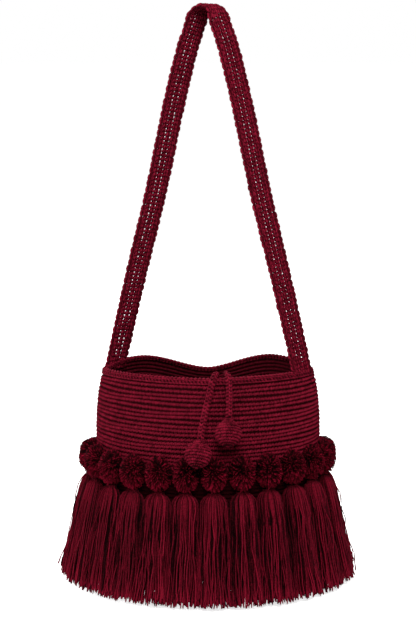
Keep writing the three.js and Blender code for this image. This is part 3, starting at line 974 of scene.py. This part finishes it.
class StrapCourse:
    """The strap's middle line from the left end over the fold to the right, with the band's directions."""

    def __init__(self):
        right = STRAP_ROWS * (1, -1, 1, 1)
        left = right[:0:-1] * (-1, -1, 1, 1)
        course = even_course(np.concatenate([left, right]), STRAP_STEPS)
        turn = np.radians(course[:, 3])
        tangents = unit(np.gradient(course[:, :3], axis=0))
        width = np.stack([np.cos(turn), np.sin(turn), np.zeros_like(turn)], axis=1)
        width = unit(width - tangents * np.sum(width * tangents, axis=1, keepdims=True))
        self.middle = course[:, :3]
        self.width = width
        self.face = np.cross(tangents, width)
        self.along = run_lengths(self.middle)
        self.length = self.along[-1]

    def at(self, table, along):
        return read_off(table, self.along, along)

    def place(self, along, across, out):
        """Points of the band at lengths along it, across it and out of its face."""
        from_fold = along - self.length / 2
        spread = FOLD_SPREAD * np.exp(-(from_fold / FOLD_REACH) ** 2)
        bulge = BULGE_SPREAD * np.exp(-((np.abs(from_fold) - BULGE_FROM_FOLD) / BULGE_REACH) ** 2)
        across = across * (1 + spread + np.where(across * from_fold > 0, bulge, 0))
        return (self.at(self.middle, along) + self.at(self.width, along) * across[..., None]
                + self.at(self.face, along) * out[..., None])

    def lay(self, heap, along, across, out, radii, tones, face=1):
        """Lays yarn on the band between its ends, turned to one of its faces."""
        along = np.clip(along, 0, self.length)
        heap.lay(self.place(along, across, out), radii, face * self.at(self.face, along), tones, sides=4)


def strap_columns(heap, course, rng):
    """Columns of V stitches on both faces of the band, drawn in at their feet, with holes beside them."""
    count = round(course.length / STRAP_STITCH)
    middle = even_places(course.length, count)
    for offset in STRAP_COLUMNS:
        shift = scatter(rng, STRAP_SHIFT * STRAP_STITCH, count, 1)
        along = middle[:, None] + shift + STRAP_OVERLAP * STRAP_STITCH * LEG_HEIGHTS
        for face in (-1, 1):
            for way in (-1, 1):
                across = offset + way * STRAP_SPREAD * (1 - STRAP_DRAW * LEG_HEIGHTS) * np.ones((count, 1))
                lift = scatter(rng, STRAP_LIFT, count, 1)
                out = face * (STRAP_RELIEF - STRAP_SINK * LEG_ROUND) + lift
                swell = STRAP_YARN * LEG_SWELL * (1 + scatter(rng, YARN_SPREAD, count, 1))
                # painted shade where each leg sinks, and painted light on its crest
                tone = STRAP_TONE + scatter(rng, STRAP_MOTTLE, count, 1) + LEG_SHADE_AND_LIGHT
                course.lay(heap, along, across, out, swell, tone, face)


def edge_chains(heap, course, rng):
    """Chains of long loops, which scallop the edges of the band."""
    parts = LOOP_PARTS
    count = round(course.length / EDGE_LOOP)
    for offset in EDGE_CHAINS:
        middle = even_places(course.length, count) + scatter(rng, LOOP_SHIFT * EDGE_LOOP, count)
        along = middle[:, None] + LOOP_OVERLAP * EDGE_LOOP * (parts - 0.5)
        tone = LOOP_TONE + scatter(rng, LOOP_MOTTLE, count, 1) + LOOP_END_SHADE
        for side in (-1, 1):
            bulge = (EDGE_WIDTH / 2 - LOOP_YARN) * (1 + scatter(rng, LOOP_BULGE_SPREAD, count, 1))
            across = offset + side * bulge * np.sin(math.pi * parts)
            out = LOOP_DEPTH * side * np.cos(math.pi * parts) + scatter(rng, STRAP_LIFT, count, 1)
            swell = LOOP_YARN * LOOP_SWELL * (1 + scatter(rng, YARN_SPREAD, count, 1))
            course.lay(heap, along, across, out, swell, tone)


def strap_bars(heap, course, rng):
    """Bars of yarn that tie each column to the next beside the heads of its stitches."""
    count = round(course.length / STRAP_STITCH)
    head = even_places(course.length, count, BAR_LEAD)
    for first, second in zip(STRAP_COLUMNS, STRAP_COLUMNS[1:]):
        across = np.ones((count, 1)) * np.linspace(first, second, len(BAR_SLANT))
        out = scatter(rng, BAR_LIFT, count, 1) * np.ones(len(BAR_SLANT))
        tone = BAR_TONE + scatter(rng, LOOP_MOTTLE, count, 1)
        course.lay(heap, head[:, None] + BAR_SLANT, across, out, BAR_YARN, tone)


def strap_band():
    """The openwork band: columns of stitches between two edge chains, tied by bars, each over a core."""
    rng = np.random.default_rng(21)
    heap = YarnHeap()
    course = StrapCourse()
    strap_columns(heap, course, rng)
    edge_chains(heap, course, rng)
    strap_bars(heap, course, rng)
    core = np.linspace(0, course.length, int(course.length / CORE_STEP))
    for offset in STRAP_COLUMNS + EDGE_CHAINS:
        route = course.place(core, np.full_like(core, offset), np.zeros_like(core))
        facing = course.at(course.face, core)[None]
        # cores dyed deep as painted shade
        heap.lay(route[None], STRAP_CORE, facing, CORE_SHADE_TONE, sides=6, flatness=CORE_FLATNESS)
    return heap.mesh("strap_band")


# Pompoms and tassels

def ring_places():
    """Points at equal steps round the wall with their outward bearing in radians and their rise."""
    half_width, half_depth = section(WALL_SECTIONS, POMPOM_DROP)[:2] + POMPOM_OFF_WALL
    fine = np.linspace(0, math.tau, RING_STEPS)
    ring = np.stack([half_width * np.sin(fine), -half_depth * np.cos(fine)], axis=1)
    along = run_lengths(ring)
    middle, half_span, lift = RING_RISE
    places = []
    for number in range(TUFT_COUNT):
        turn = np.interp(TUFT_LEAD + number / TUFT_COUNT * along[-1], along, fine)
        bearing = math.atan2(half_depth * math.sin(turn), half_width * math.cos(turn))
        point = (half_width * math.sin(turn), -half_depth * math.cos(turn))
        turned = math.degrees(bearing)
        sag = RING_SAG * float(ramp(abs(turned), RING_SAG_FROM, RING_SAG_TO))
        places.append((point, bearing, lift * float(bump(turned, middle, half_span)) - sag))
    return places


def tuft_matrix(place, off_wall, drop, lean):
    """Stands a tuft on the wall: its -Y outwards and its -Z down, leaning outwards below."""
    (x, y), bearing, rise = place
    out = off_wall - POMPOM_OFF_WALL
    station = (x + out * math.sin(bearing), y - out * math.cos(bearing), RIM_Z - drop + rise)
    turned = Matrix.Translation(station) @ Matrix.Rotation(bearing, 4, "Z")
    return np.array(turned @ Matrix.Rotation(-math.radians(lean), 4, "X"))


def moved(matrix, points):
    return points @ matrix[:3, :3].T + matrix[:3, 3]


def fan(rng):
    """Headings spread over a pompom's front and sides, drawn into tufts.

    Each strand has its heading, how far it lies from the middle of its tuft and the number of that tuft.
    """
    count = POMPOM_STRANDS
    order = (np.arange(count) + 0.5) / count
    spread = POMPOM_MIDDLE ** 2 + (1 - POMPOM_MIDDLE ** 2) * order ** POMPOM_CROWDING
    polar = math.radians(POMPOM_SPREAD) * np.sqrt(spread) + scatter(rng, HEADING_SPREAD, count)
    turn = np.arange(count) * GOLDEN_TURN + scatter(rng, TURN_SPREAD, count)
    layer = np.floor(POMPOM_LAYERS * order).astype(int)
    step = math.tau / POMPOM_WEDGES
    place = turn / step + LAYER_STAGGER * layer
    wedge = np.floor(place).astype(int)
    tuft = layer * POMPOM_WEDGES + wedge % POMPOM_WEDGES
    middle = 0.5 + scatter(rng, TUFT_SPREAD, POMPOM_LAYERS * POMPOM_WEDGES)[tuft]
    astray = wedge + middle - place
    turn = turn + POMPOM_GATHER * astray * step
    heading = np.stack([np.sin(polar) * np.sin(turn), -np.cos(polar), np.sin(polar) * np.cos(turn)], axis=1)
    return heading, np.abs(astray), tuft


def cut_lengths(heading):
    """How far each heading goes from the tie to the rounded outside of a pompom."""
    slope = np.sum((heading / POMPOM_HALF) ** 2, axis=1)
    offset = np.sum(heading * POMPOM_TIE / POMPOM_HALF ** 2, axis=1)
    inside = np.sum((POMPOM_TIE / POMPOM_HALF) ** 2) - 1
    return (np.sqrt(offset ** 2 - slope * inside) - offset) / slope


def pompom_yarn(number, place):
    """Cut yarn that fans out from its tie over a dark core of painted shade, with a hollow at its middle,
    toned with painted light and shade.
    """
    rng = np.random.default_rng(100 + number)
    heap = YarnHeap()
    count = POMPOM_STRANDS
    heading, astray, tuft = fan(rng)
    away = np.degrees(np.arccos(np.clip(-heading[:, 1], -1, 1)))
    hollow = POMPOM_HOLLOW * (1 - ramp(away, 0, HOLLOW_SPAN))
    fluff = scatter(rng, FLUFF_SPREAD, count) - FLUFF_LOST_ASTRAY * astray
    reach = cut_lengths(heading) * np.minimum(1 - hollow + fluff, LONGEST_CUT)
    tips = POMPOM_TIE + heading * reach[:, None]
    tips[:, 1] = np.minimum(tips[:, 1], POMPOM_BACK)
    routes = POMPOM_TIE + (tips - POMPOM_TIE)[:, None] * CUT_PARTS[:, None]
    routes = routes + CUT_DROOP * (CUT_PARTS ** 2)[:, None]
    radii = POMPOM_YARN * CUT_SWELL * (1 + scatter(rng, CUT_SPREAD, count, 1))
    facing = np.cross(heading, np.roll(heading, 1, axis=1))
    matrix = tuft_matrix(place, POMPOM_OFF_WALL, POMPOM_DROP, 0)
    # painted light where a strand reaches further, painted shade in the middle, towards neighbours, on the
    # upper half and astray from a tuft
    shaded = (MIDDLE_SHADE * (1 - ramp(away, 0, MIDDLE_SPAN)) + TOP_SHADE * heading[:, 2]
              + SIDE_SHADE * ramp(np.abs(heading[:, 0]), SIDE_FROM, SIDE_TO) + ASTRAY_SHADE * astray)
    tones = POMPOM_TONE + FLUFF_SHADE_AND_LIGHT * fluff - shaded + scatter(rng, CUT_MOTTLE, count)
    tones = tones + scatter(rng, TUFT_MOTTLE, POMPOM_LAYERS * POMPOM_WEDGES)[tuft]
    facing = (facing @ matrix[:3, :3].T)[:, None]
    heap.lay(moved(matrix, routes), radii, facing, tones[:, None] + CUT_SHADE_AND_LIGHT, sides=3)
    # a core dyed deep as painted shade inside the pompom
    width, depth, height = POMPOM_CORE
    level = np.sin(np.radians(POMPOM_CORE_LATITUDES))
    core = np.stack([0 * level, 0 * level - POMPOM_CORE_OUT, height * level], axis=1)
    heap.lay(moved(matrix, core)[None], width * np.sqrt(1 - level ** 2), matrix[:3, 0], 0.0, sides=12,
             flatness=depth / width)
    return heap.mesh(f"pompom_yarn_{number:02d}")


def strand_waves(rng, kind):
    """A wave along each strand of a tassel, with its own length and start."""
    size, fewest, most = STRAND_WAVES[kind]
    pace = rng.uniform(fewest, most, (TASSEL_STRANDS, 1))
    return size * np.sin(TASSEL_PARTS * pace + rng.uniform(0, math.tau, (TASSEL_STRANDS, 1)))


def tassel_strands(rng, length, splay):
    """Routes from the neck over the head and down to a knot, drawn into locks, with facings and tones that
    hold painted shade and light.
    """
    count = TASSEL_STRANDS
    parts = TASSEL_PARTS
    turn = (np.arange(count) + TASSEL_TURN_SPREAD * rng.random(count)) / count * math.tau
    lock = np.floor(turn / math.tau * TASSEL_LOCKS).astype(int)
    lock_middle = lock + 0.5 + scatter(rng, LOCK_SPREAD, TASSEL_LOCKS)[lock]
    lock_tone = scatter(rng, LOCK_MOTTLE, TASSEL_LOCKS)[lock]
    lock_end = scatter(rng, LOCK_END_SPREAD, TASSEL_LOCKS)[lock]
    full = np.sqrt((np.arange(count) * GOLDEN_STEP + LAYER_SPREAD * rng.random(count)) % 1)
    layer = TASSEL_LAYERS[0] + (TASSEL_LAYERS[1] - TASSEL_LAYERS[0]) * full
    end = length - KNOT_RISE + np.clip(lock_end + scatter(rng, END_SPREAD, count), *END_LIMITS)
    drop = parts * end[:, None]
    hang = ramp(parts, 0, HANG_FROM)
    gather = TASSEL_GATHER * ramp(parts, GATHER_FROM, GATHER_TO)
    turn = turn[:, None] + (lock_middle / TASSEL_LOCKS * math.tau - turn)[:, None] * gather
    loose = np.where(rng.random((count, 1)) < TASSEL_STRAYS, STRAY_SWAY, 1.0)
    sway = loose * strand_waves(rng, "sway") * hang
    slip = (1 + SLIP_GROWTH * parts) * strand_waves(rng, "slip") + strand_waves(rng, "curl")
    layer = layer[:, None] * (1 + HEAD_SWELL * np.exp(-((drop - HEAD_DROP) / HEAD_REACH) ** 2))
    reach, depth = section(TASSEL_RINGS, drop)
    x = (reach * layer * (1 + splay * parts) + sway) * np.sin(turn) + slip * hang
    y = -(depth * layer + sway) * np.cos(turn)
    facing = np.stack([np.sin(turn[:, 0]), -np.cos(turn[:, 0]), np.zeros(count)], axis=1)
    # painted shade on the flanks of the head
    flank = FLANK_SHADE * ramp(np.abs(facing[:, :1]), FLANK_FROM, 1) * (1 - FLANK_FADE * parts)
    flank = flank * ramp(parts, *FLANK_BELOW)
    streaks = STREAK_AT_NECK + (1 - STREAK_AT_NECK) * ramp(parts, 0, STREAK_SPAN)
    streaks = scatter(rng, STREAK_MOTTLE, count, 1) * streaks
    # painted shade and light by depth in the bundle and along the strand, with random streaks
    tones = (DEEP_STRAND_SHADE + OUTER_STRAND_LIGHT * full + lock_tone)[:, None] + streaks - flank + TASSEL_SHADE_AND_LIGHT
    return np.stack([x, y, -drop], axis=-1), facing, tones


def tassel_filling(rng, length, splay):
    """Routes of the strands in the middle of a tassel, where its lower half opens."""
    turn = rng.uniform(0, math.tau, (TASSEL_FILLING, 1))
    layer = FILLING_REACH * np.sqrt(rng.random((TASSEL_FILLING, 1)))
    drop = FILLING_PARTS * (length - FILLING_RISE + scatter(rng, FILLING_END_SPREAD, TASSEL_FILLING, 1))
    reach, depth = section(TASSEL_RINGS, drop)
    x = reach * layer * (1 + splay * FILLING_PARTS) * np.sin(turn)
    y = -depth * layer * np.cos(turn)
    return np.stack([x, y, -drop], axis=-1)


def tassel_yarn(number, place):
    """A bundle of yarn bound at its neck: strands over a core dyed dark as painted shade, and the binding.
    """
    rng = np.random.default_rng(200 + number)
    heap = YarnHeap()
    matrix = tuft_matrix(place, TASSEL_OFF_WALL, NECK_DROP, TASSEL_LEAN)
    length = (TASSEL_TIP_DROP - NECK_DROP + place[2]) / math.cos(math.radians(TASSEL_LEAN))
    splay = SIDE_SPLAY * math.sin(place[1]) ** 2
    routes, facing, tones = tassel_strands(rng, length, splay)
    radii = TASSEL_YARN * TASSEL_SWELL * (1 + scatter(rng, TASSEL_YARN_SPREAD, TASSEL_STRANDS, 1))
    heap.lay(moved(matrix, routes), radii, (facing @ matrix[:3, :3].T)[:, None], tones, sides=3)
    filling = moved(matrix, tassel_filling(rng, length, splay))
    heap.lay(filling, FILLING_SWELL * TASSEL_YARN, matrix[:3, 1], FILLING_SHADE, sides=3)
    # the core is dyed deep as painted shade inside the bundle
    core_drop = np.array([*TASSEL_CORE_DROPS, length - TASSEL_CORE_RISE])
    core = np.stack([0 * core_drop, 0 * core_drop, -core_drop], axis=1)
    depth = TASSEL_CORE_DEPTH * section(TASSEL_RINGS, core_drop)[1]
    heap.lay(moved(matrix, core)[None], depth, matrix[:3, 1], 0.0, sides=12, flatness=TASSEL_CORE_FLATNESS)
    turn = np.linspace(0, BINDING_WRAPS * math.tau, 12 * BINDING_WRAPS)
    wound = -BINDING_DROP - BINDING_PITCH * turn / math.tau
    binding = np.stack([BINDING_REACH * np.sin(turn), -BINDING_DEPTH * np.cos(turn), wound], axis=1)
    heap.lay(moved(matrix, binding)[None], BINDING_YARN, matrix[:3, 2], BINDING_SHADE_TONE, sides=5)
    return heap.mesh(f"tassel_yarn_{number:02d}")


# Ties

def tie_course(side):
    route = np.array(TIE_ROUTES[side])
    return even_course(route, int(run_lengths(route)[-1] / TIE_STEP))


def tie_stitches(side, course):
    """A round crocheted cord: columns of stitches, each a V of two legs, over a core dyed deep as painted
    shade.
    """
    rng = np.random.default_rng(31 if side == "left" else 32)
    heap = YarnHeap()
    tangents, normals = carried_normals(course, (0, -1, 0))
    along = run_lengths(course)
    table = np.concatenate([course, normals, np.cross(tangents, normals)], axis=1)
    middle = TIE_REACH - TIE_YARN
    lift = middle - TIE_SINK * LEG_ROUND
    count = int(along[-1] / TIE_STITCH)
    for column in range(TIE_COLUMNS):
        start = even_places(along[-1], count, TIE_LEADS[column % 2])
        at = np.clip(start[:, None] + TIE_OVERLAP * TIE_STITCH * LEG_HEIGHTS, 0, along[-1])
        spot = read_off(table, along, at)
        tones = TIE_TONE + scatter(rng, TIE_MOTTLE, count, 1)
        for way in (-1, 1):
            turn = math.tau * column / TIE_COLUMNS + way * (TIE_TURN - TIE_TURN_DRAW * LEG_HEIGHTS)
            out = spot[..., 3:6] * np.cos(turn)[:, None] + spot[..., 6:9] * np.sin(turn)[:, None]
            routes = spot[..., :3] + out * lift[:, None]
            # painted shade where each leg sinks, and painted light on its crest
            tone = tones + scatter(rng, TIE_LEG_MOTTLE, count, 1) + LEG_SHADE_AND_LIGHT
            heap.lay(routes, TIE_YARN * LEG_SWELL, out, tone, sides=4)
    heap.lay(course[None], TIE_CORE * middle, normals[None], 0.0, sides=8)
    return heap.mesh(f"tie_stitches_{side}")


def ball_cover(side):
    """A stuffed ball in rows of stitches, drawn in to the cord at its top."""
    rng = np.random.default_rng(41 if side == "left" else 42)
    heap = YarnHeap()
    end = np.array(TIE_ROUTES[side][-1])
    up = unit(np.array(TIE_ROUTES[side][-2]) - end)
    centre = end - up * (BALL_NECK + BALL_GAP)
    right = unit(np.cross(up, (0, 1, 0)))
    front = np.cross(up, right)
    latitude = np.radians(BALL_LATITUDES)
    height = np.concatenate([BALL_RADIUS * np.sin(latitude), [BALL_NECK]])
    girth = np.concatenate([BALL_RADIUS * np.cos(latitude), [TIE_DIAMETER / 2]])
    girth[0] = BALL_BOTTOM
    outline = np.stack([height, girth], axis=1)
    base = centre + up * height[:, None]
    # stuffing dyed deep as painted shade between the stitches
    heap.lay(base[None], BALL_STUFFING * girth, right, 0.0, sides=24)
    along = run_lengths(outline)
    row_count = round(along[-1] / BALL_ROW)
    row_height = along[-1] / row_count
    slope_step = 0.001
    for row in range(row_count):
        at = (row + 0.5) / row_count * along[-1]
        z, radius = read_off(outline, along, at)
        ahead = read_off(outline, along, at + slope_step)
        rise, widen = unit(ahead - read_off(outline, along, at - slope_step))
        count = max(round(math.tau * radius / BALL_STITCH), BALL_FEWEST)
        turn = (np.arange(count) + rng.random()) / count * math.tau
        out = right * np.cos(turn)[:, None] + front * np.sin(turn)[:, None]
        around = front * np.cos(turn)[:, None] - right * np.sin(turn)[:, None]
        down = -(up * rise + out * widen)
        centres = centre + up * z + out * (radius + BALL_LIFT)
        width = math.tau * radius / count
        crochet_row(heap, centres, around, down, np.cross(down, around), width, row_height, rng, BALL_LEGS)
    depth, radius, tone = BALL_CLOSING.T
    # the closing knot, darker deeper in as painted shade
    heap.lay((centre - up * depth[:, None])[None], radius, right, tone, sides=8)
    return heap.mesh(f"ball_cover_{side}")


# Stage and light

def ray_boost(tree, plain, seen):
    """A strength that is plain for light and reflections, and seen where the camera looks straight at it."""
    path = tree.nodes.new("ShaderNodeLightPath")
    return math_node(tree, "MULTIPLY_ADD", path.outputs["Is Camera Ray"], seen - plain, plain)


def studio(floor_z):
    """A white floor, an even glow, and softboxes above the front, at the side and behind."""
    scene = bpy.context.scene
    scene.view_settings.view_transform = "Standard"
    floor = bmesh.new()
    bmesh.ops.create_grid(floor, x_segments=1, y_segments=1, size=FLOOR_SIZE)
    bmesh.ops.translate(floor, vec=(0, 0, floor_z), verts=floor.verts)
    mesh = bpy.data.meshes.new("studio_floor")
    floor.to_mesh(mesh)
    floor.free()
    pale = bpy.data.materials.new("pale floor")
    pale.use_nodes = True
    tree = pale.node_tree
    feed_all(tree, tree.nodes["Principled BSDF"], {
        "Base Color": ray_boost(tree, FLOOR_SHADE, FLOOR_SEEN),
        "Roughness": FLOOR_ROUGHNESS,
        "Emission Color": WHITE,
        "Emission Strength": ray_boost(tree, 0.0, FLOOR_GLOW),
    })
    mesh.materials.append(pale)
    stage = bpy.data.objects.new("studio_floor", mesh)
    scene.collection.objects.link(stage)
    world = bpy.data.worlds.new("white studio")
    world.use_nodes = True
    sky = world.node_tree
    feed_all(sky, sky.nodes["Background"], {"Color": WHITE, "Strength": ray_boost(sky, AMBIENT, 1.0)})
    scene.world = world
    for name, (place, size, watts) in SOFTBOXES.items():
        softbox = bpy.data.lights.new(f"softbox_{name}", "AREA")
        softbox.size = size
        softbox.energy = watts
        lamp = bpy.data.objects.new(softbox.name, softbox)
        lamp.location = place
        lamp.rotation_euler = (SOFTBOX_TARGET - lamp.location).to_track_quat("-Z", "Y").to_euler()
        scene.collection.objects.link(lamp)


photo_camera()

for side in TIE_ROUTES:
    course = tie_course(side)
    ball = dress(ball_cover(side), TIE, "tie_cotton", f"tie_ball_{side}")
    cord = dress(tie_stitches(side, course), TIE, "tie_cotton", f"tie_cord_{side}")

dress(bag_wall(), CROCHET, "crochet_cotton", "bag_body")
dress(wall_stitches("wall_stitches_upper", range(UPPER_ROWS), True), CROCHET, "crochet_cotton")
lower_rows = range(UPPER_ROWS, STITCHED_ROWS)
dress(wall_stitches("wall_stitches_lower", lower_rows, False), CROCHET, "crochet_cotton")
dress(strap_band(), STRAP, "strap_cotton", "strap")
for number, place in enumerate(ring_places(), start=1):
    dress(pompom_yarn(number, place), POMPOM, "pompom_yarn", f"pompom_{number:02d}")
    dress(tassel_yarn(number, place), TASSEL, "tassel_yarn", f"tassel_{number:02d}")

visual_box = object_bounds()
studio(visual_box[0][2] - FLOOR_GAP)
